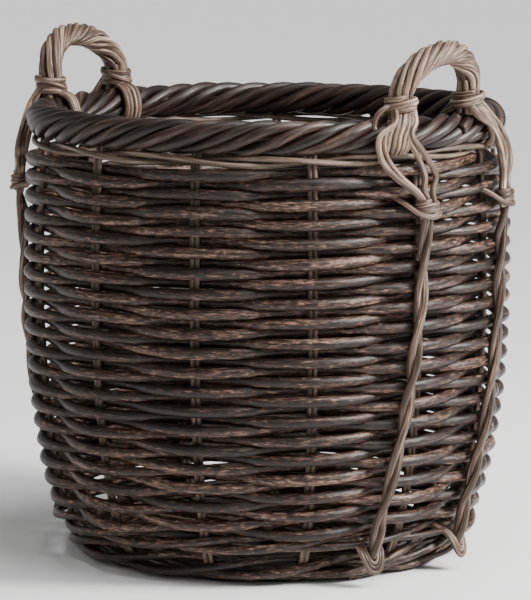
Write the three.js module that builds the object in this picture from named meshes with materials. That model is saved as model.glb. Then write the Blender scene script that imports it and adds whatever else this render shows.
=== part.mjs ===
// Round wicker log basket: a woven cane wall on paired stakes, a rope-twist border and two handles
// whose canes are lashed over the border, run down the wall as twisted cords and are tied at the foot.
// Millimetres and degrees, +Z up, origin on the floor under the centre of the base, handles near +X and -X.
import * as THREE from "three";

// Fits
const FIT = 0.35; // gap between canes that touch
const WEAVE_FIT = 0.75; // gap between a weaver and a stake, which bends at each of its steps
const END_GAP = 1.2; // gap between the two ends of a hoop, measured along it

// Wall: the line that runs up the middle of the stakes
const BASE_HEIGHT = 12; // the stakes leave the base at this height
const FOOT_RADIUS = 196;
const BELLY_RADIUS = 263;
const BELLY_HEIGHT = 300;
const MOUTH_RADIUS = 258; // at the underside of the border
const RIM_HEIGHT = 509; // top of the border

// Stakes
const STAKE_PAIRS = 13;
const STAKE_CANE = 5.5; // diameter of each of the two canes
const STAKE_WAIST = 0.5; // half thickness of a pair between its canes, as a share of a cane's radius
const STAKE_TAIL = 7; // length of stake that lies in the base
const WALL_STEPS = 14; // the stakes, and so the wall, are straight from step to step
const WALL_STEP_GROWTH = 1.7; // above 1, the steps are shorter towards the foot

// Wall weave: over one pair, under the next
const WEAVER = 9.6; // depth and height of a weaver
const WEAVER_ROW_GAP = 0.7; // between two rows, before they are shared out evenly
const WEAVERS = 8; // canes laid end to end
const STEPS_PER_GAP = 2;

// Foot wale: three rods twisted round the stakes, two rounds of them
const WALE_ROD = 6.9;
const WALE_FIRST = 20; // height of the first round
const WALE_ROUND_GAP = 2.1; // between the first round and the second
const WALE_ROUNDS = 2;
const THREE_ROD_LIFT = 1.48; // of a rod with its gap: three rods turning about each other just clear
const WALE_STEP_GAPS = 1.4; // the step up takes this many of the gaps between stakes
const WALE_END_GAPS = 0.6; // the rods end this many gaps before another step up would start
const FOOT_WALE_RODS = 3;
const THREE_ROD_SHARE = 0.75; // with one rod of three in behind a stake, the others are this far out past it
const STEPS_PER_WALE_GAP = 3;

// Thin wale under the border
const TIE_CANE = 5.2;
const TIE_GAP = 1.6; // between the two canes where one passes over the other

// Border: rods wound round a core
const BORDER_ROD = 8.2;
const BORDER_ROD_FILL = 0.74; // share of its place round the core that a slanting rod fills
const BORDER_INSET = 7; // the border's middle lies this far inside the line of the mouth
const BORDER_RODS = 3;
const BORDER_ROUNDS = 2; // each rod goes this many times round the rim
const BORDER_TWISTS = 8.5; // turns round the core in one round of the rim
const STEPS_PER_TWIST = 7;
const CORE_SIDES = 6;
const RING_STEPS_PER_GAP = 4; // for the border's core and the foot rod

// Base
const BASE_STICK = 5;
const BASE_STICK_SPACING = 30;
const BASE_STICKS_EACH_WAY = 2;
const BASE_MAT = 5;
const MAT_STEPS_PER_GAP = 3;
const FOOT_ROD_WIDTH = 11;
const FOOT_ROD_RIDGE = 3; // its ridge is this far out from its inner side
const FOOT_ROD_SHOULDER = 0.6; // its sides are upright for this share of its height

// Handles
const HANDLES = { a: -6.5, b: 186.5 }; // where each handle's middle is, round the rim
const HANDLE_RISE = 81; // top of a handle above the border
const HANDLE_SPAN = 124; // between the middles of the two legs
const HANDLE_DIAMETER = 28;
const HANDLE_INSET = 12; // the middles of the legs lie this far inside the outside of the border
const BINDING_HEIGHT = 24;
const BINDING_CANE = 3.6;
const BAND_SIDES = 12; // of every band tied round canes
const ARCH_STEPS = 16;
const STRAP_WIDTH = 20;
const STRAP_DEPTH = 7;
const STRAP_FLAT = 0.8; // share of its width over which a strap has its full depth
const STRAP_TURN_START = 0.1; // share of its length above which a strap runs straight down
const STRAP_STEPS = 14;
const LASHING_DROP = 85; // top of a lashing below the top of the border
const LASHING_HEIGHT = 20;
const LASHING_CANE = 4.2;
const CORD_DIAMETER = 13;
const CORD_DRIFT = 11; // how far a cord slants round the wall on its way down
const CORD_CURVE = 1.6; // above 1, the cord slants more the lower it is
const CORD_FOOT = 24; // height on the wall where a cord ends
const CORD_LAND = 40; // a cord swings out over the foot wale in this height
const CORD_LEAVE = [0.03, 0.12]; // shares of its length between which a cord goes in to the weave
const CORD_STEPS = 24;
const FOOT_BINDING_HEIGHT = 12;

// Worked out from the sizes above
const TURN = 2 * Math.PI;
const GAP_ANGLE = TURN / STAKE_PAIRS;
const FIRST_STAKE = GAP_ANGLE / 2;
const WEAVE_REACH = STAKE_CANE / 2 + WEAVER / 2 + WEAVE_FIT;
const CHORD_ALLOWANCE = 0.8; // a straight step of cane cuts this far into the round stake beside it
const WALL_OUT = WEAVE_REACH + CHORD_ALLOWANCE + WEAVER / 2;
const BORDER_SHARE = Math.tan(Math.PI / (BORDER_RODS * BORDER_ROUNDS)) * BORDER_ROD_FILL;
const BORDER_WINDING = (BORDER_ROD / 2) * (1 + 1 / BORDER_SHARE);
const BORDER_DIAMETER = 2 * Math.hypot(BORDER_WINDING + BORDER_ROD / 2, BORDER_ROD / 2);
const BORDER_Z = RIM_HEIGHT - BORDER_DIAMETER / 2;
const BORDER_AXIS = MOUTH_RADIUS - BORDER_INSET;
const UNDER_BORDER = RIM_HEIGHT - BORDER_DIAMETER;
const STAKE_LEAN = Math.max(0, BORDER_INSET - STAKE_CANE / 2);
const STAKE_TOP = BORDER_Z - Math.sqrt((BORDER_DIAMETER / 2) ** 2 - STAKE_LEAN ** 2) - FIT;
const WALL = wallProfile();
const TIE_LIFT = TIE_CANE + TIE_GAP;
const TIE_Z = UNDER_BORDER - TIE_LIFT / 2 - TIE_CANE / 2 - FIT;
const FOOT_ROD_HEIGHT = BASE_HEIGHT - STAKE_CANE / 2 - FIT;
const WALE_LIFT = THREE_ROD_LIFT * (WALE_ROD + FIT);
const WALE_STEP = WALE_LIFT + WALE_ROD + WALE_ROUND_GAP;
const WALE_TOP = WALE_FIRST + WALE_STEP * (WALE_ROUNDS - 1) + (WALE_LIFT + WALE_ROD) / 2;
const WALE_OUT = waleSwing(FOOT_WALE_RODS, WALE_ROD).reach;
const LASHING_TOP = RIM_HEIGHT - LASHING_DROP;
const CORD_OUT = WALL_OUT + FIT + CORD_DIAMETER / 2;
const LASHING_OUT = CORD_OUT + LASHING_CANE + 2 * FIT; // the middle of a lashing stands this far off the wall
const CORD_FOOT_OUT = WALE_OUT + 3 * FIT + LASHING_CANE + CORD_DIAMETER / 2;

const dark = new THREE.MeshStandardMaterial({ color: 0x3b2f2a, roughness: 0.55, metalness: 0 });
const border = new THREE.MeshStandardMaterial({ color: 0x332a27, roughness: 0.5, metalness: 0 });
const tan = new THREE.MeshStandardMaterial({ color: 0x7d6a58, roughness: 0.6, metalness: 0 });
const pale = new THREE.MeshStandardMaterial({ color: 0x9c8674, roughness: 0.6, metalness: 0 });

const basket = new THREE.Group();

function add(name, geometry, material) {
  const mesh = new THREE.Mesh(geometry, material);
  mesh.name = name;
  basket.add(mesh);
  return mesh;
}

// A path given as a function of a parameter from 0 to 1 and sampled evenly in that parameter. A section
// swept along it keeps its first axis towards the side that outAt gives.
class Path extends THREE.Curve {
  constructor(pointAt, outAt) {
    super();
    this.pointAt = pointAt;
    this.outAt = outAt;
  }
  getPoint(t) {
    return this.pointAt(t);
  }
  getPointAt(t) {
    return this.pointAt(t);
  }
  computeFrenetFrames(steps) {
    const frames = { tangents: [], normals: [], binormals: [] };
    for (let i = 0; i <= steps; i += 1) {
      const tangent = this.getTangent(i / steps);
      const binormal = tangent.clone().cross(this.outAt(i / steps)).normalize();
      frames.tangents.push(tangent);
      frames.binormals.push(binormal);
      frames.normals.push(binormal.clone().cross(tangent));
    }
    return frames;
  }
}

function polar(radius, angle, z) {
  return new THREE.Vector3(radius * Math.cos(angle), radius * Math.sin(angle), z);
}

function polygon(sides, diameter, turn = Math.PI / sides) {
  const points = [];
  for (let i = 0; i < sides; i += 1) {
    const a = turn + (TURN * i) / sides;
    points.push(new THREE.Vector2((diameter / 2) * Math.cos(a), (diameter / 2) * Math.sin(a)));
  }
  return new THREE.Shape(points);
}

function square(size) {
  return polygon(4, size * Math.SQRT2);
}

function sweep(shape, path, steps) {
  return new THREE.ExtrudeGeometry(shape, { steps, extrudePath: path, bevelEnabled: false });
}

// The wall's middle line: a quarter ellipse from the base to the belly, then a gentle lean in to the mouth.
function wallCurve(z) {
  if (z > BELLY_HEIGHT) {
    const up = (z - BELLY_HEIGHT) / (UNDER_BORDER - BELLY_HEIGHT);
    return BELLY_RADIUS - (BELLY_RADIUS - MOUTH_RADIUS) * up * up;
  }
  const down = (BELLY_HEIGHT - z) / (BELLY_HEIGHT - BASE_HEIGHT);
  return FOOT_RADIUS + (BELLY_RADIUS - FOOT_RADIUS) * Math.sqrt(Math.max(0, 1 - down * down));
}

// That line as the stakes follow it, from the base to their tips.
function wallProfile() {
  const steps = [];
  for (let i = 0; i <= WALL_STEPS; i += 1) {
    const z = BASE_HEIGHT + (STAKE_TOP - BASE_HEIGHT) * (i / WALL_STEPS) ** WALL_STEP_GROWTH;
    steps.push({ z, radius: wallCurve(z) });
  }
  return steps;
}

function wallRadius(z) {
  const above = WALL.findIndex((step) => step.z > z);
  const i = above < 0 ? WALL.length - 1 : Math.max(1, above);
  const share = (z - WALL[i - 1].z) / (WALL[i].z - WALL[i - 1].z);
  return THREE.MathUtils.lerp(WALL[i - 1].radius, WALL[i].radius, Math.max(0, share));
}

function wallSlope(z) {
  return wallRadius(z + 0.5) - wallRadius(z - 0.5);
}

function wallNormal(angle, z) {
  return polar(1, angle, -wallSlope(z)).normalize();
}

// A point off the wall's middle line: out along its normal, up along its slope.
function wallPoint(angle, z, out, up = 0) {
  const slope = wallSlope(z);
  const length = Math.hypot(1, slope);
  const radius = wallRadius(z) + (out + up * slope) / length;
  return polar(radius, angle, z + (up - out * slope) / length);
}

// A path straight from point to point.
function polyline(points, outAt) {
  return new Path((t) => {
    const at = t * (points.length - 1);
    const i = Math.min(Math.floor(at), points.length - 2);
    return points[i].clone().lerp(points[i + 1], at - i);
  }, outAt);
}

function stakeAngle(index) {
  return FIRST_STAKE + index * GAP_ANGLE;
}

// Two round canes side by side, as one outline with a waist.
function stakeOutline() {
  const r = STAKE_CANE / 2;
  const waist = r * STAKE_WAIST;
  const outline = [
    [0, waist], [-r, r], [-2 * r, 0], [-r, -r], [0, -waist], [r, -r], [2 * r, 0], [r, r],
  ];
  return new THREE.Shape(outline.map(([across, through]) => new THREE.Vector2(through, across)));
}

function addStakes() {
  for (let k = 0; k < STAKE_PAIRS; k += 1) {
    const angle = stakeAngle(k);
    const wall = WALL.map(({ z, radius }) => polar(radius, angle, z));
    const points = [polar(FOOT_RADIUS - STAKE_TAIL, angle, BASE_HEIGHT), ...wall];
    const path = polyline(points, () => polar(1, angle, -1));
    add(`stake_pair_${String(k + 1).padStart(2, "0")}`, sweep(stakeOutline(), path, points.length - 1), tan);
  }
}

// Each weaver starts and ends inside the wall, behind a stake pair.
function addWeavers(fromZ, toZ) {
  const rows = Math.floor((toZ - fromZ) / (WEAVER + WEAVER_ROW_GAP));
  const pitch = (toZ - fromZ) / rows;
  const gaps = rows * STAKE_PAIRS;
  const joinAt = (i) => (i === WEAVERS ? gaps : 2 * Math.round((i * gaps) / WEAVERS / 2));
  const halfGap = END_GAP / 2 / (FOOT_RADIUS * GAP_ANGLE);
  for (let i = 0; i < WEAVERS; i += 1) {
    const first = joinAt(i) + halfGap;
    const last = joinAt(i + 1) - halfGap;
    const gapAt = (t) => first + (last - first) * t;
    const heightAt = (t) => fromZ + (pitch * gapAt(t)) / STAKE_PAIRS;
    const outAt = (t) => wallNormal(stakeAngle(gapAt(t)), heightAt(t));
    const path = new Path((t) => {
      const swing = (WEAVE_REACH + CHORD_ALLOWANCE / 2) * Math.cos(Math.PI * gapAt(t));
      return wallPoint(stakeAngle(gapAt(t)), heightAt(t), CHORD_ALLOWANCE / 2 - swing);
    }, outAt);
    const steps = (joinAt(i + 1) - joinAt(i)) * STEPS_PER_GAP;
    add(`weaver_${i + 1}`, sweep(square(WEAVER), path, steps), dark);
  }
}

// How far out the rods of a wale reach, and the swing and shift that take them past the stakes.
function waleSwing(rods, cane) {
  const clear = STAKE_CANE / 2 + cane / 2 + FIT + CHORD_ALLOWANCE;
  const swing = clear / (rods === 3 ? THREE_ROD_SHARE : 1);
  return { swing, shift: swing - clear, reach: 2 * swing - clear + cane / 2 };
}

// A rod of a wale: out past the stakes and in behind one, turning round its neighbours as it goes.
function walePath(phase, lastGap, rods, cane, lift, heightAt) {
  const { swing, shift } = waleSwing(rods, cane);
  const halfGap = END_GAP / 2 / (FOOT_RADIUS * GAP_ANGLE);
  const gapAt = (t) => halfGap + (lastGap - 2 * halfGap) * t;
  return new Path(
    (t) => {
      const turn = (TURN * gapAt(t)) / rods + phase;
      const out = shift + swing * Math.cos(turn);
      return wallPoint(stakeAngle(gapAt(t)), heightAt(gapAt(t)), out, (lift / 2) * Math.sin(turn));
    },
    (t) => wallNormal(stakeAngle(gapAt(t)), heightAt(gapAt(t))),
  );
}

// The rounds of the foot wale lie level, with a step up from each to the next.
function footWaleHeight(gap) {
  const rounds = Math.floor(gap / STAKE_PAIRS);
  const within = gap - rounds * STAKE_PAIRS;
  const step = THREE.MathUtils.smoothstep(within, STAKE_PAIRS - WALE_STEP_GAPS, STAKE_PAIRS);
  return WALE_FIRST + WALE_STEP * (rounds + step);
}

function addFootWale() {
  const lastGap = STAKE_PAIRS * WALE_ROUNDS - WALE_STEP_GAPS - WALE_END_GAPS;
  for (let i = 0; i < FOOT_WALE_RODS; i += 1) {
    const phase = Math.PI + (TURN * i) / FOOT_WALE_RODS;
    const path = walePath(phase, lastGap, FOOT_WALE_RODS, WALE_ROD, WALE_LIFT, footWaleHeight);
    const steps = Math.round(lastGap * STEPS_PER_WALE_GAP);
    add(`foot_wale_rod_${i + 1}`, sweep(square(WALE_ROD), path, steps), dark);
  }
}

function addTieWale() {
  for (let i = 0; i < 2; i += 1) {
    const path = walePath(Math.PI * i, STAKE_PAIRS, 2, TIE_CANE, -TIE_LIFT, () => TIE_Z);
    add(`tie_wale_cane_${i + 1}`, sweep(square(TIE_CANE), path, STAKE_PAIRS * STEPS_PER_WALE_GAP), pale);
  }
}

function addBorder() {
  const endAngle = END_GAP / 2 / BORDER_AXIS;
  const coreAngle = (t) => endAngle + (TURN - 2 * endAngle) * t;
  const corePath = new Path(
    (t) => polar(BORDER_AXIS, coreAngle(t), BORDER_Z),
    (t) => polar(1, coreAngle(t), 0),
  );
  const coreSize = 2 * (BORDER_WINDING - BORDER_ROD / 2 - FIT) * Math.cos(Math.PI / STEPS_PER_TWIST);
  const coreSteps = RING_STEPS_PER_GAP * STAKE_PAIRS;
  add("border_core", sweep(polygon(CORE_SIDES, coreSize), corePath, coreSteps), border);
  for (let i = 0; i < BORDER_RODS; i += 1) {
    const angleAt = (t) => endAngle + (TURN * BORDER_ROUNDS - 2 * endAngle) * t;
    const outAt = (t) => {
      const turn = BORDER_TWISTS * angleAt(t) + (TURN * i) / (BORDER_RODS * BORDER_ROUNDS);
      return polar(Math.cos(turn), angleAt(t), Math.sin(turn));
    };
    const path = new Path((t) => {
      const axis = polar(BORDER_AXIS, angleAt(t), BORDER_Z);
      return axis.addScaledVector(outAt(t), BORDER_WINDING);
    }, outAt);
    const steps = Math.round(BORDER_TWISTS * BORDER_ROUNDS * STEPS_PER_TWIST);
    add(`border_rod_${i + 1}`, sweep(square(BORDER_ROD), path, steps), border);
  }
}

function addBase() {
  const matTop = BASE_HEIGHT - STAKE_CANE / 2 + BASE_MAT / 2;
  const matRadius = FOOT_RADIUS - STAKE_TAIL - FIT;
  const mat = [[0, matTop - BASE_MAT], [matRadius, matTop - BASE_MAT], [matRadius, matTop], [0, matTop]];
  add("base_weave", turned(mat, MAT_STEPS_PER_GAP * STAKE_PAIRS), dark);
  for (const [layer, turn] of [["lower", 0], ["upper", Math.PI / 2]]) {
    const z = matTop + FIT + BASE_STICK / 2 + (layer === "upper" ? BASE_STICK + FIT : 0);
    for (let i = 0; i < BASE_STICKS_EACH_WAY; i += 1) {
      const across = (i - (BASE_STICKS_EACH_WAY - 1) / 2) * BASE_STICK_SPACING;
      const half = Math.sqrt((matRadius - FIT) ** 2 - (Math.abs(across) + BASE_STICK / 2) ** 2);
      const stick = new THREE.CylinderGeometry(BASE_STICK / 2, BASE_STICK / 2, 2 * half, 8);
      stick.rotateZ(Math.PI / 2).translate(0, across, z).rotateZ(turn);
      add(`base_stick_${layer}_${i + 1}`, stick, tan);
    }
  }
  const inner = FOOT_RADIUS + FIT;
  const outer = inner + FOOT_ROD_WIDTH;
  const shoulder = FOOT_ROD_HEIGHT * FOOT_ROD_SHOULDER;
  const ridge = [inner + FOOT_ROD_RIDGE, FOOT_ROD_HEIGHT];
  const rod = [[inner, 0], [outer, 0], [outer, shoulder], ridge, [inner, shoulder], [inner, 0]];
  add("foot_rod", turned(rod, RING_STEPS_PER_GAP * STAKE_PAIRS), dark);
}

// An outline of radius and height turned about the upright axis.
function turned(outline, segments) {
  const points = outline.map(([radius, z]) => new THREE.Vector2(radius, z));
  return new THREE.LatheGeometry(points, segments).rotateX(Math.PI / 2);
}

// A band of cane turns: an upright oval ring, given the half sizes of its hole.
function bandRing(holeAcross, holeThrough, cane, height) {
  const room = 1 / Math.cos(Math.PI / BAND_SIDES);
  const outline = (through, across) => {
    const points = [];
    for (let i = 0; i < BAND_SIDES; i += 1) {
      const a = (TURN * (i + 0.5)) / BAND_SIDES;
      points.push(new THREE.Vector2(through * room * Math.cos(a), across * room * Math.sin(a)));
    }
    return points;
  };
  const shape = new THREE.Shape(outline(holeThrough + cane, holeAcross + cane));
  shape.holes.push(new THREE.Path(outline(holeThrough, holeAcross)));
  const band = new THREE.ExtrudeGeometry(shape, { depth: height, bevelEnabled: false });
  return band.translate(0, 0, -height / 2);
}

function nearestStake(angle) {
  return stakeAngle(Math.round((angle - FIRST_STAKE) / GAP_ANGLE));
}

function addHandle(label, middle) {
  const legRadius = BORDER_AXIS + BORDER_DIAMETER / 2 - HANDLE_INSET;
  const legAngle = Math.asin(HANDLE_SPAN / 2 / legRadius);
  const legFoot = RIM_HEIGHT + FIT;
  addArch(`handle_${label}_arch`, middle, legRadius, legAngle, legFoot);
  for (const [side, sign] of [["left", -1], ["right", 1]]) {
    const leg = middle + sign * legAngle;
    const lash = nearestStake(leg);
    const name = `handle_${label}_${side}`;
    addBinding(`${name}_binding`, leg, legRadius, legFoot);
    addStrap(`${name}_strap`, leg, lash - leg, legFoot);
    addLashing(`${name}_lashing`, lash);
    addCord(name, lash);
  }
}

// The arch stands on two upright legs, which the bindings hold, and is half an ellipse above them.
function addArch(name, middle, legRadius, legAngle, legFoot) {
  const spring = legFoot + BINDING_HEIGHT;
  const rise = RIM_HEIGHT + HANDLE_RISE - HANDLE_DIAMETER / 2 - spring;
  const points = [polar(legRadius, middle - legAngle, legFoot)];
  for (let i = 0; i <= ARCH_STEPS; i += 1) {
    const a = (Math.PI * i) / ARCH_STEPS;
    points.push(polar(legRadius, middle - legAngle * Math.cos(a), spring + rise * Math.sin(a)));
  }
  points.push(polar(legRadius, middle + legAngle, legFoot));
  const path = polyline(points, (t) => polar(1, middle + legAngle * (2 * t - 1), 0));
  add(name, sweep(polygon(8, HANDLE_DIAMETER, 0), path, points.length - 1), pale);
}

function addBinding(name, angle, radius, z) {
  const hole = HANDLE_DIAMETER / 2 + FIT;
  const ring = bandRing(hole, hole, BINDING_CANE, BINDING_HEIGHT);
  const mesh = add(name, ring, pale);
  mesh.position.copy(polar(radius, angle, z + BINDING_HEIGHT / 2));
  mesh.rotation.z = angle;
}

// The leg's canes as a flat strap: down the outside of the border, then out over the weave to the lashing.
function addStrap(name, leg, turn, topZ) {
  const overBorder = BORDER_AXIS + BORDER_DIAMETER / 2 + STRAP_DEPTH / 2 + FIT;
  const startZ = topZ - FIT;
  const endZ = LASHING_TOP - LASHING_HEIGHT / 2 + FIT;
  const straight = (LASHING_TOP - endZ) / (startZ - endZ);
  const points = [];
  for (let i = 0; i <= STRAP_STEPS; i += 1) {
    const down = i / STRAP_STEPS;
    const z = startZ - (startZ - endZ) * down;
    const angle = leg + turn * THREE.MathUtils.smoothstep(down, STRAP_TURN_START, 1 - straight);
    const overWall = wallRadius(z) + LASHING_OUT;
    const blend = THREE.MathUtils.smoothstep(BORDER_Z - z, 0, BORDER_DIAMETER / 2 + TIE_LIFT);
    points.push(polar(overBorder + (overWall - overBorder) * blend, angle, z));
  }
  const across = STRAP_WIDTH / 2;
  const through = STRAP_DEPTH / 2;
  const flat = across * STRAP_FLAT;
  const outline = [
    [0, across], [-through, flat], [-through, -flat], [0, -across], [through, -flat], [through, flat],
  ];
  const shape = new THREE.Shape(outline.map(([x, y]) => new THREE.Vector2(x, y)));
  const path = polyline(points, (t) => polar(1, leg + turn * t, 0));
  add(name, sweep(shape, path, STRAP_STEPS), pale);
}

function addLashing(name, angle) {
  const across = Math.max(STRAP_WIDTH, CORD_DIAMETER) / 2 + FIT;
  const mesh = add(name, bandRing(across, CORD_DIAMETER / 2 + FIT, LASHING_CANE, LASHING_HEIGHT), pale);
  const z = LASHING_TOP - LASHING_HEIGHT / 2;
  mesh.position.copy(polar(wallRadius(z) + LASHING_OUT, angle, z));
  mesh.rotation.z = angle;
}

// The twisted cord from the lashing to the foot, with the band that ties its end.
function addCord(name, lash) {
  const underStrap = LASHING_TOP - LASHING_HEIGHT / 2 - FIT;
  const topZ = underStrap + wallSlope(underStrap) * LASHING_OUT;
  const angleAt = (t) => lash - THREE.MathUtils.degToRad(CORD_DRIFT) * t ** CORD_CURVE;
  const pointAt = (t) => {
    const z = topZ - (topZ - CORD_FOOT) * t;
    const leave = THREE.MathUtils.smoothstep(t, ...CORD_LEAVE);
    const land = THREE.MathUtils.smoothstep(WALE_TOP + CORD_LAND - z, 0, CORD_LAND);
    const out = LASHING_OUT + (CORD_OUT - LASHING_OUT) * leave + (CORD_FOOT_OUT - CORD_OUT) * land;
    return wallPoint(angleAt(t), z, out);
  };
  const path = new Path(pointAt, (t) => polar(1, angleAt(t), 0));
  add(`${name}_cord`, sweep(polygon(6, CORD_DIAMETER), path, CORD_STEPS), pale);

  const above = pointAt(1 - 2 / CORD_STEPS);
  const below = pointAt(1 - 1 / CORD_STEPS);
  const hole = CORD_DIAMETER / 2 + 2 * FIT;
  const mesh = add(`${name}_foot_binding`, bandRing(hole, hole, LASHING_CANE, FOOT_BINDING_HEIGHT), pale);
  mesh.position.lerpVectors(above, below, 0.5);
  mesh.quaternion.setFromUnitVectors(new THREE.Vector3(0, 0, 1), above.sub(below).normalize());
}

addBase();
addStakes();
addFootWale();
addWeavers(WALE_TOP + WEAVER / 2 + FIT, TIE_Z - (TIE_LIFT + TIE_CANE) / 2 - WEAVER / 2 - FIT);
addTieWale();
addBorder();
for (const [label, degrees] of Object.entries(HANDLES)) {
  addHandle(label, THREE.MathUtils.degToRad(degrees));
}

export default basket;
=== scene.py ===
"""The looks of the wicker log basket. The canes' sizes are in millimetres until a mesh is made from them."""

import math

import bpy
import numpy as np
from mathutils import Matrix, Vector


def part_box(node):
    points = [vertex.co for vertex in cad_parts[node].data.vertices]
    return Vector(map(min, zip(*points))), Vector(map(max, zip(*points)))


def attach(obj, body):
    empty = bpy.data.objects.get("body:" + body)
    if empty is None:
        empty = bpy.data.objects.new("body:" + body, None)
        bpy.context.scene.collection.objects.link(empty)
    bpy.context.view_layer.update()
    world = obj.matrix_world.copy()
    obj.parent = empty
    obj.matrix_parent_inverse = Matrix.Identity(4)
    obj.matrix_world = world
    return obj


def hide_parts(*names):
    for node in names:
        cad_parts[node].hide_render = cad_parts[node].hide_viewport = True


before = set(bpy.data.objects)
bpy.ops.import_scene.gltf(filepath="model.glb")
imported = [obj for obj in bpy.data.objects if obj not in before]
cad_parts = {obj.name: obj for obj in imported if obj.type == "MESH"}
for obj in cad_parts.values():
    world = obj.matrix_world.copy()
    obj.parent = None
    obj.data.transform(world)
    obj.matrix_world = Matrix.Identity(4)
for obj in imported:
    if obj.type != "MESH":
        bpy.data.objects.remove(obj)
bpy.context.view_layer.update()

MM = 0.001
TURN = 2 * math.pi

# Cut ends of canes
END_BEVEL = 0.25  # length of the rounding, as a share of the cane's radius
END_SIZE = 0.78  # what is left of the cane's radius at the very end

# Wall
BASE_Z = 12
FOOT_RADIUS = 196
BELLY_RADIUS = 263
BELLY_Z = 300
MOUTH_RADIUS = 258
STAKE_PAIRS = 13
GAP_ANGLE = TURN / STAKE_PAIRS
STAKE_CANE = 5.5
STAKE_TIP_Z = 476
STAKE_STEPS = 90
STAKE_STEP_GROWTH = 1.7  # above 1, the steps are shorter towards the foot
STAKE_TAIL = 10  # length of stake that lies in the base
STAKE_TUCK = 4.5  # how far the tips lean in under the border

# Weave
WEAVERS = 8
ROWS = 38
ROWS_FROM = 53.7
ROWS_TO = 455.0
WEAVE_REACH = 9.0
WEAVER_RADIUS = 5.75
WEAVER_SWELL = 0.13  # share by which a weaver looks thicker where it bends round a stake
WEAVER_STEPS_PER_GAP = 14
JOIN_GAP = 0.6  # half the gap between two weavers, measured along them

# Foot wale; places along it are counted in gaps between stakes
WALE_RODS = 3
WALE_RADIUS = 4.7
WALE_FIRST = 20.5  # height of the first round
WALE_STEP = 18.2  # height from the first round to the second
WALE_LIFT = 10.7
WALE_STEP_GAPS = 1.4
WALE_START = -1.5
WALE_DIP = 5  # the rods start this far below the first round
WALE_RISE = 12  # and end this far above the second
WALE_STEPS = 440
THREE_ROD_SHARE = 0.75  # with one rod of three in behind a stake, the others are this far out past it

# Thin wale under the border
TIE_Z = 466.8
TIE_LIFT = 7.6
TIE_RADIUS = 3.1
TIE_STEPS = 420

# Base
MAT_TURNS = 33
MAT_START = 12  # radius at which the woven spiral starts
MAT_RADIUS = 2.7
MAT_Z = 9.3
MAT_EDGE_DROP = 3.2
FOOT_ROD_AXIS = 201.9
FOOT_ROD_Z = 5.1
FOOT_ROD_RADIUS = 3.7
FOOT_ROD_TWISTS = 9
UPPER_FOOT_ROD = (209.5, 8.6)  # radius and height
UPPER_FOOT_ROD_RADIUS = 4.0

# Border
BORDER_AXIS = 251
BORDER_Z = 490.5
UNDER_BORDER = 472.5
BORDER_WINDING = 13.4
BORDER_TWISTS = 8.5
BORDER_RODS = 3
BORDER_ROD_RADIUS = 5.9
BORDER_CORE_RADIUS = 7.6
BORDER_STEPS = 1500

# Handles: the two legs, the two lashings and how far the arch's top leans, in degrees round the basket
HANDLES = {
    "a": {"legs": (-18.6, 6.2), "lashings": (-15.5, 13.85), "lean": 2.6},
    "b": {"legs": (171.0, 201.5), "lashings": (180.0, 207.7), "lean": 2.6},
}
LEG_RADIUS = 257
LEG_FOOT_Z = 506
SPRING_Z = 534  # the arch is half an ellipse above this height
APEX_Z = 576
BINDING_Z = 522
ARCH_CANES = 8
ARCH_CANE_RADIUS = 3.75
ARCH_WINDING = 9.8
ARCH_CORE_RADIUS = 6.6
ARCH_TWIST = 1.05  # turns of the canes from leg to leg
TUCKED_CANE_RADIUS = 3.5
STRAP_CANE_RADIUS = 3.3
LASHING_Z = 414
LASHING_OUT = 25.5
CORD_OUT = 20.6
CORD_FOOT_OUT = 27.5
CORD_FOOT_Z = 24
CORD_DRIFT = 11
CORD_CURVE = 1.6  # above 1, the cord slants more the lower it is
CORD_TOP_Z = 412
CORD_RADIUS = 4.2
CORD_TWISTS = 3.1
CORD_END = 0.945  # share of its route at which the cord ends in its foot binding
CORD_LAND_Z = 88  # below this height a cord swings out over the foot wale
CORD_LAND = 40  # in this much height

# Stage: metres and degrees
FLOOR_HALF = 60
FLOOR_COLOUR = (0.96, 0.96, 0.96, 1)
WORLD_STRENGTH = 0.36
SUN_STRENGTH = 2.7
SUN_ANGLE = 50
SUN_TILT = 30
SUN_TURN = 68  # round from the camera
# Name, degrees round from the camera, distance, height, size and power
LAMPS = (
    ("Key", 72, 2.2, 1.5, 0.8, 120),
    ("Fill", -15, 3.2, 1.6, 1.4, 6),
)
LAMP_AIM = (0, 0, 0.3)
LAMP_COLOUR = (1, 0.98, 0.96)
CAMERA_PLACE = (2.313, -3.015, 0.840)
CAMERA_DOWN = 8.36
CAMERA_TURN = 37.5
CAMERA_LENS = 202.3
CAMERA_SENSOR = 36


def link(thing):
    bpy.context.scene.collection.objects.link(thing)


def polar(radius, angle, z):
    radius, angle, z = np.broadcast_arrays(radius, angle, z)
    return np.stack([radius * np.cos(angle), radius * np.sin(angle), z], axis=-1).astype(float)


def stake_angle(gap):
    return GAP_ANGLE * (0.5 + gap)


def smoothstep(x, low, high):
    t = np.clip((x - low) / (high - low), 0, 1)
    return t * t * (3 - 2 * t)


def wall_radius(z):
    z = np.asarray(z, float)
    up = (z - BELLY_Z) / (UNDER_BORDER - BELLY_Z)
    down = np.clip((BELLY_Z - z) / (BELLY_Z - BASE_Z), 0, 1)
    lower = FOOT_RADIUS + (BELLY_RADIUS - FOOT_RADIUS) * np.sqrt(1 - down**2)
    return np.where(z > BELLY_Z, BELLY_RADIUS - (BELLY_RADIUS - MOUTH_RADIUS) * up**2, lower)


def wall_point(angle, z, out, up=0.0):
    """A point that far out of the wall's middle line, and that far up along the wall."""
    slope = wall_radius(z + 0.5) - wall_radius(z - 0.5)
    length = np.hypot(1, slope)
    radius = wall_radius(z) + (out + up * slope) / length
    return polar(radius, angle, z + (up - out * slope) / length)


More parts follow.
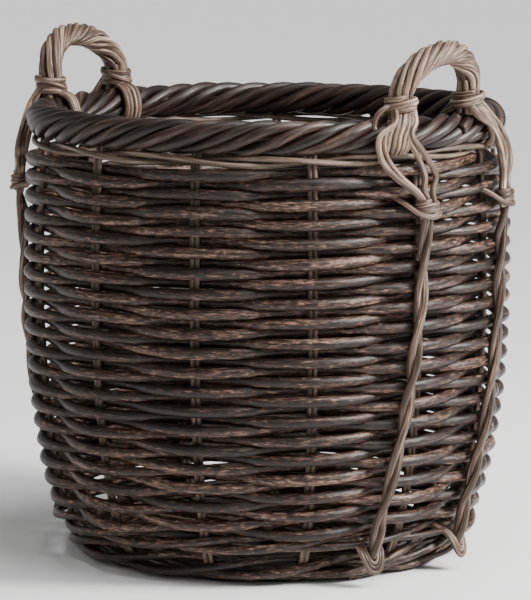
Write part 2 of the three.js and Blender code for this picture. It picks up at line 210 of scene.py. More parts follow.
def drift(x, seed, wavelength):
    """A smooth wandering between about -1 and 1."""
    rng = np.random.default_rng(seed)
    total = np.zeros_like(np.asarray(x, float))
    for _ in range(4):
        total += np.sin(TURN * (x / (wavelength * rng.uniform(0.55, 1.6)) + rng.random()))
    return total / 2.4


def length_along(points):
    """The length of the path up to each of its points."""
    return np.concatenate([[0], np.cumsum(np.linalg.norm(np.diff(points, axis=0), axis=1))])


def smooth_route(knots, steps):
    """A smooth curve through the knots, evenly stepped along its length."""
    knots = np.asarray(knots, float)
    padded = np.vstack([2 * knots[0] - knots[1], knots, 2 * knots[-1] - knots[-2]])
    pieces = []
    for i in range(1, len(padded) - 2):
        p0, p1, p2, p3 = padded[i - 1 : i + 3]
        t = np.linspace(0, 1, 24, endpoint=False)[:, None]
        squared = (2 * p0 - 5 * p1 + 4 * p2 - p3) * t**2
        cubed = (3 * p1 - p0 - 3 * p2 + p3) * t**3
        pieces.append(0.5 * (2 * p1 + (p2 - p0) * t + squared + cubed))
    fine = np.vstack([*pieces, knots[-1:]])
    along = length_along(fine)
    even = np.linspace(0, along[-1], steps + 1)
    return np.stack([np.interp(even, along, fine[:, k]) for k in range(3)], axis=1)


def unit_tangent(points):
    tangent = np.gradient(points, axis=0)
    return tangent / np.linalg.norm(tangent, axis=1, keepdims=True)


class Strand:
    """One cane: a path, the direction its section faces, its radius and how flat it is in that direction."""

    def __init__(self, points, facing, radius, seed, flat=1.0, sides=10, wander=0.06, wander_length=70,
                 tone=0.5):
        points = np.asarray(points, float)
        along = length_along(points)
        tangent = unit_tangent(points)
        facing = np.broadcast_to(facing, points.shape)
        through = facing - tangent * np.sum(facing * tangent, axis=1, keepdims=True)
        through /= np.linalg.norm(through, axis=1, keepdims=True)
        across = np.cross(tangent, through)
        size = radius * (1 + wander * drift(along, seed, wander_length))
        bevel = END_BEVEL * np.max(np.broadcast_to(radius, along.shape))
        inset = tangent * bevel
        points = np.vstack([points[:1], points[:1] + inset[:1], points[1:-1], points[-1:] - inset[-1:],
                            points[-1:]])
        along = np.concatenate([along[:1], along[:1] + bevel, along[1:-1], along[-1:] - bevel, along[-1:]])
        through, across = (
            np.vstack([a[:1], a[:1], a[1:-1], a[-1:], a[-1:]]) for a in (through, across)
        )
        ends = (size[:1] * END_SIZE, size[-1:] * END_SIZE)
        size = np.concatenate([ends[0], size[:1], size[1:-1], size[-1:], ends[1]])
        turn = np.arange(sides) * TURN / sides
        self.sides = sides
        self.along = along
        self.radius = float(np.mean(size))
        ring_out = np.cos(turn)[None, :, None] * through[:, None, :] * flat
        ring_side = np.sin(turn)[None, :, None] * across[:, None, :]
        rings = points[:, None, :] + (ring_out + ring_side) * size[:, None, None]
        self.verts = rings.reshape(-1, 3)
        rng = np.random.default_rng(seed)
        self.tint = tone + rng.uniform(-0.5, 0.5)
        start = rng.uniform(0, 4000)
        self.cane = np.stack(np.broadcast_arrays(
            start + along[:, None],
            self.radius * np.cos(turn)[None, :] + 40 * self.tint,
            self.radius * np.sin(turn)[None, :],
        ), axis=-1).reshape(-1, 3)

    def rings(self):
        return len(self.along)


def strip_map(strands):
    """The strands laid out in a square as equal strips: each strand's loop coordinates, and its two ends'."""
    total = sum(s.along[-1] for s in strands)
    girth = TURN * float(np.mean([s.radius for s in strands]))
    strip = max(math.sqrt(total * girth), 1.0)
    rows = [max(1, math.ceil(s.along[-1] / strip)) for s in strands]
    height = 1 / (sum(rows) + 1)
    coordinates, row = [], 0
    for s, count in zip(strands, rows):
        steps = s.rings() - 1
        step = np.arange(steps)
        line = np.minimum((step * count) // steps, count - 1)
        first = np.ceil(line * steps / count)
        length = np.ceil((line + 1) * steps / count) - first
        u0, u1 = (step - first) / length, (step - first + 1) / length
        v = (np.arange(s.sides + 1) / s.sides * 0.92 + 0.04) * height
        base = (row + line) * height
        quad = np.zeros((steps, s.sides, 4, 2))
        quad[:, :, 0, 0] = quad[:, :, 1, 0] = u0[:, None]
        quad[:, :, 2, 0] = quad[:, :, 3, 0] = u1[:, None]
        quad[:, :, 0, 1] = quad[:, :, 3, 1] = base[:, None] + v[None, :-1]
        quad[:, :, 1, 1] = quad[:, :, 2, 1] = base[:, None] + v[None, 1:]
        coordinates.append(quad.reshape(-1, 2))
        row += count
    caps = []
    cap_count = 2 * len(strands)
    for i, s in enumerate(strands):
        for end in (0, 1):
            turn = np.arange(s.sides) * TURN / s.sides
            reach = 0.4 * min(height, 1 / cap_count)
            middle = np.array([(2 * i + end + 0.5) / cap_count, 1 - height / 2])
            caps.append(middle + reach * np.stack([np.cos(turn), np.sin(turn)], axis=-1))
    return coordinates, caps


def piece(name, strands, slot, *nodes):
    """One piece of canes that stands for the CAD nodes."""
    verts, cane, tint, faces = [], [], [], []
    coordinates, caps = strip_map(strands)
    uv, start = [], 0
    for s, quads in zip(strands, coordinates):
        n, m = s.rings(), s.sides
        i, j = np.meshgrid(np.arange(n - 1), np.arange(m), indexing="ij")
        a = start + i * m + j
        b = start + i * m + (j + 1) % m
        faces += np.stack([a, b, b + m, a + m], axis=-1).reshape(-1, 4).tolist()
        uv.append(quads)
        verts.append(s.verts)
        cane.append(s.cane)
        tint.append(np.full(n * m, s.tint))
        start += n * m
    start = 0
    for s, first_cap, last_cap in zip(strands, caps[::2], caps[1::2]):
        n, m = s.rings(), s.sides
        faces.append(list(range(start + m - 1, start - 1, -1)))
        faces.append(list(range(start + (n - 1) * m, start + n * m)))
        uv += [first_cap[::-1], last_cap]
        start += n * m
    mesh = bpy.data.meshes.new(name)
    mesh.from_pydata((np.vstack(verts) * MM).tolist(), [], faces)
    cane_attribute = mesh.attributes.new("cane", "FLOAT_VECTOR", "POINT")
    cane_attribute.data.foreach_set("vector", np.vstack(cane).ravel())
    tint_attribute = mesh.attributes.new("tint", "FLOAT", "POINT")
    tint_attribute.data.foreach_set("value", np.concatenate(tint))
    mesh.uv_layers.new(name="OFBake").data.foreach_set("uv", np.vstack(uv).ravel())
    mesh.polygons.foreach_set("use_smooth", [len(f) == 4 for f in faces])
    mesh.materials.append(MATERIALS[slot])
    made = bpy.data.objects.new(name, mesh)
    link(made)
    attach(made, "root")
    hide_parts(*nodes)


# ---------------------------------------------------------------- materials


def add_node(tree, kind, inputs=(), **settings):
    node = tree.nodes.new(kind)
    for key, value in settings.items():
        setattr(node, key, value)
    for key, value in dict(inputs).items():
        if isinstance(value, bpy.types.NodeSocket):
            tree.links.new(value, node.inputs[key])
        else:
            node.inputs[key].default_value = value
    return node


def cane_noise(tree, cane, along, around, detail, distortion=0.0):
    """Noise on the cane whose marks are about so long and so wide, in millimetres."""
    scale = (1 / along, 1 / around, 1 / around)
    scaled = add_node(tree, "ShaderNodeVectorMath", {0: cane, 1: scale}, operation="MULTIPLY")
    noise = add_node(tree, "ShaderNodeTexNoise", {
        "Vector": scaled.outputs[0], "Scale": 1.0, "Detail": detail, "Roughness": 0.6,
        "Distortion": distortion,
    })
    return noise.outputs["Fac"]


def weighted(tree, terms, offset):
    """The offset plus each term times its weight."""
    total = offset
    for value, weight in terms:
        inputs = {0: value, 1: weight, 2: total}
        total = add_node(tree, "ShaderNodeMath", inputs, operation="MULTIPLY_ADD").outputs[0]
    return total


def cane_material(name, stops, mottle, streak, slow, roughness, bump):
    """A cane whose colour runs through the stops with its mottling, its streaks and its slow changes."""
    material = bpy.data.materials.new(name)
    material.use_nodes = True
    tree = material.node_tree
    shader = tree.nodes["Principled BSDF"]
    cane = add_node(tree, "ShaderNodeAttribute", attribute_name="cane").outputs["Vector"]
    tint = add_node(tree, "ShaderNodeAttribute", attribute_name="tint").outputs["Fac"]
    marks = cane_noise(tree, cane, *mottle["size"], detail=3.0, distortion=0.7)
    lines = cane_noise(tree, cane, *streak["size"], detail=2.0)
    areas = cane_noise(tree, cane, *slow["size"], detail=1.0)
    weights = [mottle["weight"], streak["weight"], slow["weight"]]
    terms = [*zip((marks, lines, areas), weights), (tint, slow["tint"])]
    tone = weighted(tree, terms, 0.5 - sum(weights) / 2 - slow["tint"] / 2)
    ramp = add_node(tree, "ShaderNodeValToRGB", {"Fac": tone})
    while len(ramp.color_ramp.elements) < len(stops):
        ramp.color_ramp.elements.new(0.5)
    for element, (position, colour) in zip(ramp.color_ramp.elements, stops):
        element.position = position
        element.color = (*colour, 1)
    tree.links.new(ramp.outputs["Color"], shader.inputs["Base Color"])
    rough = weighted(tree, [(lines, 0.25), (marks, 0.15)], roughness - 0.2)
    tree.links.new(rough, shader.inputs["Roughness"])
    shader.inputs["IOR"].default_value = 1.42
    relief = weighted(tree, [(lines, 0.6), (marks, 0.4)], 0.0)
    depth = {"Height": relief, "Distance": bump * MM, "Strength": 0.6}
    bumped = add_node(tree, "ShaderNodeBump", depth)
    tree.links.new(bumped.outputs["Normal"], shader.inputs["Normal"])
    return material


BLACK_BROWN = (0.0070, 0.0036, 0.0026)
DARK_BROWN = (0.018, 0.0092, 0.0062)
RED_BROWN = (0.070, 0.035, 0.023)
DUSTY_PINK = (0.27, 0.165, 0.12)

MATERIALS = {
    "weave": cane_material(
        "weave", [(0.37, BLACK_BROWN), (0.51, DARK_BROWN), (0.64, RED_BROWN), (0.84, DUSTY_PINK)],
        mottle={"size": (9, 2.4), "weight": 1.15}, streak={"size": (20, 0.9), "weight": 0.6},
        slow={"size": (150, 9), "weight": 0.7, "tint": 0.08}, roughness=0.40, bump=1.1),
    "border": cane_material(
        "border", [(0.38, BLACK_BROWN), (0.54, DARK_BROWN), (0.68, (0.050, 0.029, 0.021)),
                   (0.86, (0.15, 0.098, 0.073))],
        mottle={"size": (30, 3.6), "weight": 0.7}, streak={"size": (50, 0.9), "weight": 0.5},
        slow={"size": (120, 10), "weight": 0.5, "tint": 0.16}, roughness=0.38, bump=0.6),
    "stake": cane_material(
        "stake", [(0.3, (0.025, 0.016, 0.012)), (0.5, (0.10, 0.068, 0.048)), (0.72, (0.24, 0.17, 0.125))],
        mottle={"size": (14, 3), "weight": 0.5}, streak={"size": (60, 0.7), "weight": 0.8},
        slow={"size": (80, 6), "weight": 0.4, "tint": 0.1}, roughness=0.55, bump=0.4),
    "tie_cane": cane_material(
        "tie_cane", [(0.3, (0.025, 0.016, 0.012)), (0.5, (0.11, 0.074, 0.054)), (0.72, (0.32, 0.23, 0.175))],
        mottle={"size": (40, 3), "weight": 0.5}, streak={"size": (70, 0.8), "weight": 0.8},
        slow={"size": (120, 6), "weight": 0.5, "tint": 0.1}, roughness=0.42, bump=0.35),
    "handle_cane": cane_material(
        "handle_cane", [(0.26, (0.024, 0.014, 0.010)), (0.43, (0.080, 0.048, 0.033)),
                        (0.58, (0.21, 0.138, 0.096)), (0.76, (0.54, 0.41, 0.32))],
        mottle={"size": (22, 3), "weight": 0.5}, streak={"size": (60, 0.9), "weight": 1.1},
        slow={"size": (90, 7), "weight": 0.45, "tint": 0.16}, roughness=0.42, bump=0.35),
}

# ---------------------------------------------------------------- wall and base


def radial(points):
    flat = np.array(points, float)
    flat[:, 2] = 0
    return flat / np.linalg.norm(flat, axis=1, keepdims=True)


def row_lift(angle, z):
    """Neighbouring rows wander up and down together, more so near the top."""
    wild = 1.1 + 2.6 * smoothstep(z, 340, 410) * (1 - smoothstep(z, 430, 458))
    long_wave = np.sin(2 * angle + z / 23) * 0.45
    middle_wave = np.sin(5 * angle - z / 31 + 1.3) * 0.4
    short_wave = np.sin(9 * angle + z / 47 + 4) * 0.3
    return wild * (long_wave + middle_wave + short_wave)


def add_weavers():
    pitch = (ROWS_TO - ROWS_FROM) / ROWS
    gaps = ROWS * STAKE_PAIRS
    half_join = JOIN_GAP / (FOOT_RADIUS * GAP_ANGLE)
    joins = [2 * round(i * gaps / WEAVERS / 2) for i in range(WEAVERS)] + [gaps]
    for i in range(WEAVERS):
        steps = (joins[i + 1] - joins[i]) * WEAVER_STEPS_PER_GAP
        gap = np.linspace(joins[i] + half_join, joins[i + 1] - half_join, steps + 1)
        angle = stake_angle(gap)
        z = ROWS_FROM + pitch * gap / STAKE_PAIRS
        swing = np.cos(math.pi * gap)
        bend = np.sign(swing) * np.abs(swing) ** 0.8
        out = 0.4 - (WEAVE_REACH + 0.4) * bend + 0.5 * drift(gap, 40 + i, 5)
        lift = row_lift(angle, z) + 0.5 * drift(gap, 60 + i, 7)
        points = wall_point(angle, z + lift, out)
        near_stake = 1 + WEAVER_SWELL * swing**2
        uneven = 0.04 + 0.06 * smoothstep(z, 340, 420)
        radius = WEAVER_RADIUS * near_stake * (1 + uneven * drift(gap, 80 + i, 9))
        facing = radial(points)
        strand = Strand(points, facing, radius, 100 + i, sides=12, wander=0.03, wander_length=25)
        piece(f"Weaver_{i + 1}", [strand], "weave", f"weaver_{i + 1}")


def add_stakes():
    for k in range(STAKE_PAIRS):
        strands = []
        for side in (-1, 1):
            seed = 200 + 2 * k + (side + 1) // 2
            tip = STAKE_TIP_Z - 2 + 4 * np.random.default_rng(seed).random()
            z = BASE_Z + (tip - BASE_Z) * np.linspace(0, 1, STAKE_STEPS) ** STAKE_STEP_GROWTH
            tail = [FOOT_RADIUS - STAKE_TAIL, FOOT_RADIUS - STAKE_TAIL / 2]
            radius = np.concatenate([tail, wall_radius(z)])
            radius[2:] -= STAKE_TUCK * smoothstep(z, STAKE_TIP_Z - 18, STAKE_TIP_Z)
            z = np.concatenate([[BASE_Z, BASE_Z], z])
            angle = stake_angle(k) + side * (STAKE_CANE / 2 + 0.1) / radius
            points = polar(radius, angle, z)
            points[2:, :2] *= (1 + 0.0012 * drift(z[2:], seed, 80))[:, None]
            facing = polar(1, stake_angle(k), -1)
            strands.append(Strand(points, facing, STAKE_CANE / 2, seed, sides=10, wander=0.05))
        piece(f"Stake_pair_{k + 1:02d}", strands, "stake", f"stake_pair_{k + 1:02d}")


def wale_strand(gap, phase, rods, radius, lift, z, seed):
    """A rod of a wale: out past the stakes and in behind one, turning about its neighbours."""
    clear = STAKE_CANE / 2 + np.max(radius) + 0.8
    swing = clear / (THREE_ROD_SHARE if rods == 3 else 1)
    turn = TURN * gap / rods + phase
    out = swing - clear + swing * np.cos(turn)
    up = lift / 2 * np.sin(turn)
    points = wall_point(stake_angle(gap), z + 0.6 * drift(gap, seed, 6), out, up)
    return Strand(points, radial(points), radius, seed, sides=12, wander=0.08, wander_length=90)


def add_foot_wale():
    """Two rounds that climb a step between them; the rods thin out where they start and end."""
    last = 2 * STAKE_PAIRS
    gap = np.linspace(WALE_START, last - 0.2, WALE_STEPS)
    step = smoothstep(gap, STAKE_PAIRS - WALE_STEP_GAPS, STAKE_PAIRS)
    started = smoothstep(gap, WALE_START, 0)
    rise = WALE_RISE * smoothstep(gap, STAKE_PAIRS + 3, last - 1)
    z = WALE_FIRST + WALE_STEP * step - WALE_DIP * (1 - started) + rise
    full = started * (1 - smoothstep(gap, last - 2.6, last - 0.8))
    radius = WALE_RADIUS * (0.72 + 0.28 * full)
    lift = WALE_LIFT * (0.35 + 0.65 * full)
    for i in range(WALE_RODS):
        phase = math.pi + TURN * i / WALE_RODS
        strand = wale_strand(gap, phase, WALE_RODS, radius, lift, z, 300 + i)
        piece(f"Foot_wale_rod_{i + 1}", [strand], "weave", f"foot_wale_rod_{i + 1}")


def add_tie_wale():
    gap = np.linspace(0.01, STAKE_PAIRS - 0.01, TIE_STEPS)
    z = TIE_Z + 1.2 * np.sin(3 * stake_angle(gap) + 1)
    for i in range(2):
        strand = wale_strand(gap, math.pi * i, 2, TIE_RADIUS, -TIE_LIFT, z, 310 + i)
        piece(f"Tie_wale_cane_{i + 1}", [strand], "tie_cane", f"tie_wale_cane_{i + 1}")


def add_base_weave():
    """One long spiral that waves over and under, and lies lower under the stakes' tails."""
    t = np.linspace(0, 1, MAT_TURNS * 72)
    radius = MAT_START + (FOOT_RADIUS - 2 - MAT_START) * t
    angle = TURN * MAT_TURNS * t
    edge = smoothstep(radius, 181, 186)
    wave = np.sin(angle * 4.5) * 1.1 * (1 - 0.8 * edge)
    points = polar(radius, angle, MAT_Z - MAT_EDGE_DROP * edge + wave)
    mat = Strand(points, (0, 0, 1), MAT_RADIUS, 400, sides=8, flat=0.8, wander=0.08)
    piece("Base_weave", [mat], "weave", "base_weave")


def add_base_sticks():
    """Each stick lies along its CAD solid."""
    for label in ("lower", "upper"):
        for i in (1, 2):
            low, high = (np.array(c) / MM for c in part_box(f"base_stick_{label}_{i}"))
            middle, half = (low + high) / 2, (high - low) / 2
            axis = 0 if half[0] > half[1] else 1
            t = np.linspace(-1, 1, 60)
            points = np.tile(middle, (len(t), 1))
            points[:, axis] += t * half[axis]
            points[:, 2] += 0.25 * drift(t * 100, 410 + i, 60)
            radius = half[2] * (1 - 0.25 * smoothstep(np.abs(t), 0.9, 1))
            stick = Strand(points, (0, 0, 1), radius, 420 + i + 10 * axis, sides=10, wander=0.04)
            piece(f"Base_stick_{label}_{i}", [stick], "stake", f"base_stick_{label}_{i}")


def add_foot_rod():
    """Two rods twisted together that the basket stands on, and a third that lies on them outside."""
    angle = np.linspace(0.004, TURN - 0.004, 300)
    strands = []
    for k in range(2):
        turn = FOOT_ROD_TWISTS * angle + math.pi * k
        points = polar(FOOT_ROD_AXIS + 2.6 * np.cos(turn), angle, FOOT_ROD_Z + 1.3 * np.sin(turn))
        strands.append(Strand(points, radial(points), FOOT_ROD_RADIUS, 430 + k, sides=10, wander=0.05))
    radius, z = UPPER_FOOT_ROD
    upper = polar(radius, angle, z + 0.4 * np.sin(7 * angle))
    strands.append(Strand(upper, radial(upper), UPPER_FOOT_ROD_RADIUS, 432, sides=10, wander=0.05))
    piece("Foot_rod", strands, "weave", "foot_rod")


def add_border():
    angle = np.linspace(0.003, TURN - 0.003, 260)
    axis = polar(BORDER_AXIS, angle, BORDER_Z)
    core = Strand(axis, radial(axis), BORDER_CORE_RADIUS, 500, sides=10, wander=0.03)
    piece("Border_core", [core], "border", "border_core")
    angle = np.linspace(0.004, 2 * TURN - 0.004, BORDER_STEPS)
    axis = polar(BORDER_AXIS, angle, BORDER_Z)
    for i in range(BORDER_RODS):
        place = TURN * i / (2 * BORDER_RODS)
        turn = BORDER_TWISTS * angle + place + 0.10 * drift(angle, 510 + i, 0.9)
        winding = BORDER_WINDING + 0.8 * drift(angle, 520 + i, 0.7)
        height = BORDER_Z + winding * np.sin(turn)
        points = polar(BORDER_AXIS + winding * np.cos(turn), angle, height)
        radius = BORDER_ROD_RADIUS * (1 + 0.10 * drift(angle, 530 + i, 1.1))
        rod = Strand(points, points - axis, radius, 540 + i, sides=14, wander=0.02)
        piece(f"Border_rod_{i + 1}", [rod], "border", f"border_rod_{i + 1}")


# ---------------------------------------------------------------- handles


def route(knots, steps):
    """A smooth cane route through (degrees round the basket, radius, height)."""
    knots = np.asarray(knots, float)
    return smooth_route(polar(knots[:, 1], np.radians(knots[:, 0]), knots[:, 2]), steps)


def seed_of(label, side):
    """What the seeds of a leg's pieces start from, so that no two legs are alike."""
    return (0 if label == "a" else 20) + (0 if side == "left" else 10)


def across_path(points, out):
    """The path's direction, and the out direction squared up to it."""
    tangent = unit_tangent(points)
    out = out - tangent * np.sum(out * tangent, axis=1, keepdims=True)
    return tangent, out


def add_arch(label, legs, lean):
    """The canes of a handle, twisted about a core from one leg to the other."""
    left, right = legs
    t = np.linspace(0, 1, 160)
    half = math.radians(right - left) / 2
    middle = math.radians(left + right) / 2
    knots = [polar(LEG_RADIUS, middle - half, LEG_FOOT_Z)]
    for a in np.linspace(0, math.pi, 17):
        angle = middle - half * np.cos(a) + math.radians(lean) * np.sin(a)
        knots.append(polar(LEG_RADIUS, angle, SPRING_Z + (APEX_Z - SPRING_Z) * np.sin(a)))
    knots.append(polar(LEG_RADIUS, middle + half, LEG_FOOT_Z))
    axis = smooth_route(np.array(knots), len(t) - 1)
    tangent, out = across_path(axis, radial(axis))
    out /= np.linalg.norm(out, axis=1, keepdims=True)
    side = np.cross(tangent, out)
    twist = -TURN * ARCH_TWIST * smoothstep(t, 0.08, 0.92)
    strands = [Strand(axis, out, ARCH_CORE_RADIUS, 600, sides=10)]
    for k in range(ARCH_CANES):
        seed = 610 + k + (50 if label == "b" else 0)
        turn = TURN * k / ARCH_CANES + twist + 0.12 * drift(t, seed, 0.6)
        winding = ARCH_WINDING + 0.7 * drift(t, seed + 20, 0.5)
        outward = out * (winding * np.cos(turn))[:, None]
        offset = outward + side * (winding * np.sin(turn))[:, None]
        strands.append(Strand(axis + offset, offset, ARCH_CANE_RADIUS, seed, sides=12, wander=0.07))
    piece(f"Handle_{label}_arch", strands, "handle_cane", f"handle_{label}_arch")


def wrap(centre, axis, out, radii, height, turns, cane, tilt, seed, flat=0.62, tone=0.5):
    """A cane wound round a bundle: an oval helix about the axis, with its two ends tucked in."""
    t = np.linspace(0, 1, int(turns * 40))
    turn = TURN * turns * t
    axis = np.asarray(axis, float) / np.linalg.norm(axis)
    out = np.asarray(out, float) - axis * np.dot(out, axis)
    out /= np.linalg.norm(out)
    side = np.cross(axis, out)
    tuck = smoothstep(t, 0, 0.04) * (1 - smoothstep(t, 0.96, 1))
    grow = 0.72 + 0.28 * tuck
    reach = np.array(radii)[:, None] * grow
    facing = out * np.cos(turn)[:, None] + side * np.sin(turn)[:, None]
    points = centre + out * (reach[0] * np.cos(turn))[:, None]
    points = points + side * (reach[1] * np.sin(turn))[:, None]
    rise = height * (t - 0.5) + tilt * np.sin(turn + 0.7)
    points = points + axis * rise[:, None]
    return Strand(points, facing, cane, seed, flat=flat, sides=10, wander=0.05, tone=tone)


def add_binding(label, side, leg):
    """Three turns of cane round a leg and one across them; one binding ends in a loose curl."""
    angle = math.radians(leg)
    centre = polar(LEG_RADIUS, angle, BINDING_Z)
    seed = 700 + seed_of(label, side)
    out = polar(1, angle, 0)
    strands = [
        wrap(centre, (0, 0, 1), out, (15.8, 15.8), 18.5, 3.0, 3.3, 1.4, seed),
        wrap(centre + (0, 0, 1), (0.05, 0.02, 1), out, (17.6, 17.4), 3, 1.15, 3.1, 5.5, seed + 1),
    ]
    if (label, side) == ("a", "left"):
        curl = [
            (leg - 3.4, 262, 522), (leg - 5.4, 262, 520), (leg - 7.4, 262, 512), (leg - 8.0, 263, 501),
            (leg - 7.0, 266, 494), (leg - 5.0, 268, 498), (leg - 4.4, 267, 508),
        ]
        points = route(curl, 50)
        strands.append(Strand(points, radial(points), 3.0, seed + 2, flat=0.7))
    piece(f"Handle_{label}_{side}_binding", strands, "handle_cane", f"handle_{label}_{side}_binding")


# How each leg's canes lie: how many are tucked in under the border, where the rest run in degrees at each
# of the heights, and how far they open on the way to the lashing, as a share of OPENINGS
STRAP_HEIGHTS = (492, 470, 449, 433)
STRAP_RADII = (276, 279, 282.5, 284.5)
STRAPS = {
    ("a", "left"): {"tucked": 5, "middle": (-22.0, -21.4, -19.6, -17.2), "open": 1.0},
    ("a", "right"): {"tucked": 3, "middle": (13.0, 16.5, 16.0, 14.6), "open": 0.5},
    ("b", "left"): {"tucked": 4, "middle": (174.0, 176.5, 178.5, 179.6), "open": 0.7},
    ("b", "right"): {"tucked": 4, "middle": (205.0, 207.5, 208.0, 207.8), "open": 0.7},
}
# Sideways opening in degrees at each of those heights, for the four canes that run on
OPENINGS = (
    (-4.9, -5.4, -4.0, -2.0),
    (-3.2, -3.6, -2.2, -0.9),
    (3.6, 6.2, 6.8, 3.2),
    (2.6, 4.4, 4.2, 1.3),
)


def tucked_canes(leg, lean, count, base):
    """Canes that run down over the outside of the border and in under it."""
    strands = []
    for k in range(count):
        offset = (k - (count - 1) / 2) * 6.5
        narrow = math.degrees(offset * 0.85 / LEG_RADIUS)
        wide = math.degrees(offset / 279)
        seed = base + k
        low = 470 + 3 * np.random.default_rng(seed).random()
        knots = [
            (leg + narrow, 260, 525),
            (leg + narrow + 0.15 * lean, 267, 514),
            (leg + wide + 0.45 * lean, 272.5, 504),
            (leg + wide + 0.85 * lean, 275.0, 491),
            (leg + wide + lean, 275, 480),
            (leg + wide + lean, 268.5, low),
        ]
        points = route(knots, 40)
        strands.append(Strand(points, radial(points), TUCKED_CANE_RADIUS, seed, sides=12, wander=0.05))
    return strands


def running_canes(leg, lean, lash, plan, base):
    """Two pairs of canes that open out below the border and close again at the lashing."""
    strands = []
    for k, opening in enumerate(OPENINGS):
        way = -1 if k < 2 else 1
        near = -1.6 if k % 2 else 1.6
        knots = [
            (leg + way * 2.6, 262 + near, 523),
            (leg + way * 2.8 + 0.3 * lean, 272 + near, 506),
        ]
        for z, middle, aside, radius in zip(STRAP_HEIGHTS, plan["middle"], opening, STRAP_RADII):
            knots.append((middle + aside * plan["open"], radius + near, z))
        close = lash + way * (0.7 if k % 2 else 1.6)
        for z in (420, 403):
            knots.append((close, wall_radius(z) + LASHING_OUT + near, z))
        points = route(knots, 80)
        strands.append(Strand(points, radial(points), STRAP_CANE_RADIUS, base + k, sides=12, wander=0.06))
    return strands


def inner_canes(leg, base):
    """Canes that run down the inside of the border."""
    strands = []
    for k in range(4):
        offset = math.degrees((k - 1.5) * 6.6 / 240)
        knots = [
            (leg + 0.7 * offset, 254, 523),
            (leg + 0.8 * offset, 245, 513),
            (leg + offset, 233, 506),
            (leg + offset, 227.5, 492),
            (leg + offset, 228, 480),
            (leg + offset, 235, 468),
        ]
        points = route(knots, 40)
        strands.append(Strand(points, -radial(points), STRAP_CANE_RADIUS, base + k, sides=12, wander=0.05))
    return strands


def add_strap(label, side, leg, lash):
    plan = STRAPS[(label, side)]
    base = 800 + 3 * seed_of(label, side)
    lean = plan["middle"][0] - leg
    strands = tucked_canes(leg, lean, plan["tucked"], base)
    strands += running_canes(leg, lean, lash, plan, base + 10)
    strands += inner_canes(leg, base + 20)
    piece(f"Handle_{label}_{side}_strap", strands, "handle_cane", f"handle_{label}_{side}_strap")


def add_lashing(label, side, lash):
    """Three turns of cane round the strap, and one that ties them to the wall."""
    angle = math.radians(lash)
    reach = float(wall_radius(LASHING_Z))
    centre = polar(reach + LASHING_OUT, angle, LASHING_Z)
    seed = 950 + seed_of(label, side)
    out = polar(1, angle, 0)
    strands = [wrap(centre, (0, 0, 1), out, (8.6, 13.0), 16, 3.0, 3.0, 1.3, seed, tone=0.2)]
    knots = [
        (lash - 6.4, reach + 2, 427),
        (lash - 5.2, reach + 16, 421),
        (lash - 3.0, reach + 30, 410),
        (lash - 0.2, reach + 35, 405.5),
        (lash + 2.4, reach + 31.5, 407),
        (lash + 3.8, reach + 20, 411),
        (lash + 4.6, reach + 2, 415),
    ]
    points = route(knots, 60)
    strands.append(Strand(points, radial(points), 2.9, seed + 1, flat=0.8, tone=0.2))
    piece(f"Handle_{label}_{side}_lashing", strands, "handle_cane", f"handle_{label}_{side}_lashing")


def cord_axis(lash, t):
    """The cord's middle line: in from the lashing to the weave, then out over the foot wale."""
    angle = np.radians(lash - CORD_DRIFT * t**CORD_CURVE)
    z = CORD_TOP_Z - (CORD_TOP_Z - CORD_FOOT_Z) * t
    come_in = (CORD_OUT - LASHING_OUT) * smoothstep(t, 0.03, 0.12)
    go_out = (CORD_FOOT_OUT - CORD_OUT) * smoothstep(CORD_LAND_Z - z, 0, CORD_LAND)
    return angle, wall_point(angle, z, LASHING_OUT + come_in + go_out)


def add_cord(label, side, lash):
    """Two canes twisted together, with a tail that runs in under the base."""
    t = np.linspace(0, CORD_END, 240)
    angle, axis = cord_axis(lash, t)
    tangent, out = across_path(axis, polar(1, angle, 0))
    across = np.cross(tangent, out)
    strands = []
    base = 1000 + seed_of(label, side)
    for k in range(2):
        turn = TURN * CORD_TWISTS * t + math.pi * k + 0.6 + 0.35 * drift(t, base, 0.5)
        offset = out * (3.3 * np.cos(turn))[:, None] + across * (3.8 * np.sin(turn))[:, None]
        cane = Strand(axis + offset, out, CORD_RADIUS, base + 1 + k, sides=12, wander=0.07, tone=-0.2)
        strands.append(cane)
    turn = math.degrees(angle[-1])
    radius = float(np.hypot(*axis[-1][:2]))
    z = axis[-1][2]
    tail = [
        (turn, radius + 3, z + 8),
        (turn - 0.6, radius - 3, z - 8),
        (turn - 3, radius - 15, 17),
        (turn - 8, 214, 7.5),
        (turn - 14, 206, 4),
    ]
    points = route(tail, 60)
    strands.append(Strand(points, radial(points), 3.0, base + 4, sides=10, wander=0.07, tone=-0.6))
    piece(f"Handle_{label}_{side}_cord", strands, "handle_cane", f"handle_{label}_{side}_cord")
    add_foot_binding(label, side, lash, base + 6)


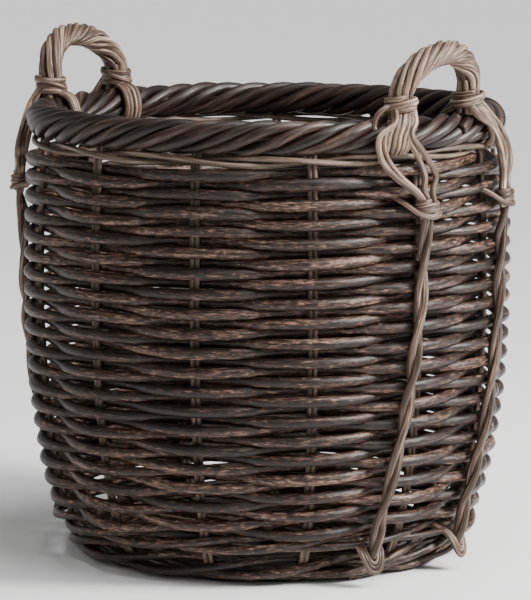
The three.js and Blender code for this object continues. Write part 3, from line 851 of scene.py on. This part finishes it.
def add_foot_binding(label, side, lash, seed):
    """Nested loops of cane that hold the cord's end down on the foot wale."""
    angle, ends = cord_axis(lash, np.array([CORD_END]))
    turn = float(np.degrees(angle[0]))
    radius = float(np.hypot(*ends[0][:2]))
    z = float(ends[0][2])
    strands = []
    for k in range(3):
        wide = math.degrees((12.5 - 3.4 * k) / radius)
        sag = 17 - 5.0 * k
        front = radius + 7.5 - 1.2 * k
        knots = [
            (turn - wide * 1.15, radius - 24, z + 16),
            (turn - wide * 1.1, radius - 6, z + 9),
            (turn - wide, radius + 2, z + 2),
            (turn - 0.62 * wide, front, z - 0.7 * sag),
            (turn, front + 1, z - sag),
            (turn + 0.62 * wide, front, z - 0.7 * sag),
            (turn + wide, radius + 2, z + 2),
            (turn + wide * 1.1, radius - 6, z + 9),
            (turn + wide * 1.15, radius - 24, z + 16),
        ]
        points = route(knots, 60)
        strands.append(Strand(points, radial(points), 2.6, seed + k, flat=0.85, tone=0.3))
    piece(
        f"Handle_{label}_{side}_foot_binding", strands, "handle_cane",
        f"handle_{label}_{side}_foot_binding",
    )


# ---------------------------------------------------------------- stage


def add_floor():
    mesh = bpy.data.meshes.new("Floor")
    far = FLOOR_HALF
    mesh.from_pydata([(-far, -far, 0), (far, -far, 0), (far, far, 0), (-far, far, 0)], [], [(0, 1, 2, 3)])
    material = bpy.data.materials.new("Floor")
    material.use_nodes = True
    shader = material.node_tree.nodes["Principled BSDF"]
    shader.inputs["Base Color"].default_value = FLOOR_COLOUR
    shader.inputs["Roughness"].default_value = 0.9
    mesh.materials.append(material)
    floor = bpy.data.objects.new("Floor", mesh)
    link(floor)


def add_world():
    world = bpy.data.worlds.new("Studio")
    world.use_nodes = True
    background = world.node_tree.nodes["Background"]
    background.inputs["Color"].default_value = (1, 1, 1, 1)
    background.inputs["Strength"].default_value = WORLD_STRENGTH
    bpy.context.scene.world = world


def add_sun():
    sun = bpy.data.lights.new("Overhead", "SUN")
    sun.energy = SUN_STRENGTH
    sun.angle = math.radians(SUN_ANGLE)
    overhead = bpy.data.objects.new("Overhead", sun)
    overhead.rotation_euler = (math.radians(SUN_TILT), 0, math.radians(CAMERA_TURN + SUN_TURN))
    link(overhead)


def add_lamp(name, turn, distance, z, size, power):
    data = bpy.data.lights.new(name, "AREA")
    data.shape = "DISK"
    data.size = size
    data.energy = power
    data.color = LAMP_COLOUR
    lamp = bpy.data.objects.new(name, data)
    angle = math.radians(CAMERA_TURN - 90) + math.radians(turn)
    place = (distance * math.cos(angle), distance * math.sin(angle), z)
    lamp.location = place
    direction = np.array(LAMP_AIM) - np.array(place)
    tilt = math.acos(-direction[2] / np.linalg.norm(direction))
    lamp.rotation_euler = (tilt, 0, math.atan2(-direction[0], direction[1]))
    link(lamp)


def add_camera():
    data = bpy.data.cameras.new("Camera")
    data.sensor_width = CAMERA_SENSOR
    data.lens = CAMERA_LENS
    camera = bpy.data.objects.new("Camera", data)
    camera.location = CAMERA_PLACE
    camera.rotation_euler = (math.radians(90 - CAMERA_DOWN), 0, math.radians(CAMERA_TURN))
    link(camera)
    bpy.context.scene.camera = camera


add_weavers()
add_stakes()
add_foot_wale()
add_tie_wale()
add_base_weave()
add_base_sticks()
add_foot_rod()
add_border()
for label, plan in HANDLES.items():
    add_arch(label, plan["legs"], plan["lean"])
    for side, leg, lash in zip(("left", "right"), plan["legs"], plan["lashings"]):
        add_binding(label, side, leg)
        add_strap(label, side, leg, lash)
        add_lashing(label, side, lash)
        add_cord(label, side, lash)
add_floor()
add_world()
add_sun()
for lamp in LAMPS:
    add_lamp(*lamp)
add_camera()
